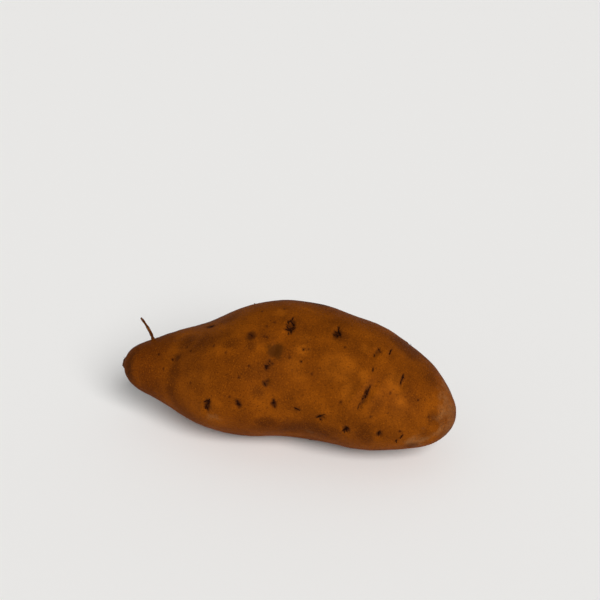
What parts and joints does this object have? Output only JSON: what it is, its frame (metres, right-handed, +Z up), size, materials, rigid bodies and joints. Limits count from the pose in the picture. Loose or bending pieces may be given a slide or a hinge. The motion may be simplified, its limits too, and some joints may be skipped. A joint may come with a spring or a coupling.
{
  "type": "sweet potato",
  "caption": "Whole raw sweet potato: a long storage root, narrow at one end and blunt at the other, lying on its side.",
  "frame": {"origin": "a point of the small flat spot that the root rests on, straight below its weight", "axes": "+X along the root from its narrow end to its blunt stem end, +Z up"},
  "size_m": [0.1789, 0.083, 0.0705],
  "materials": {
    "skin": "satin orange-brown root skin with fine wrinkles, small pores and dark corky scars"
  },
  "bodies": {
    "root": {"sweet_potato": "skin"}
  },
  "joints": []
}
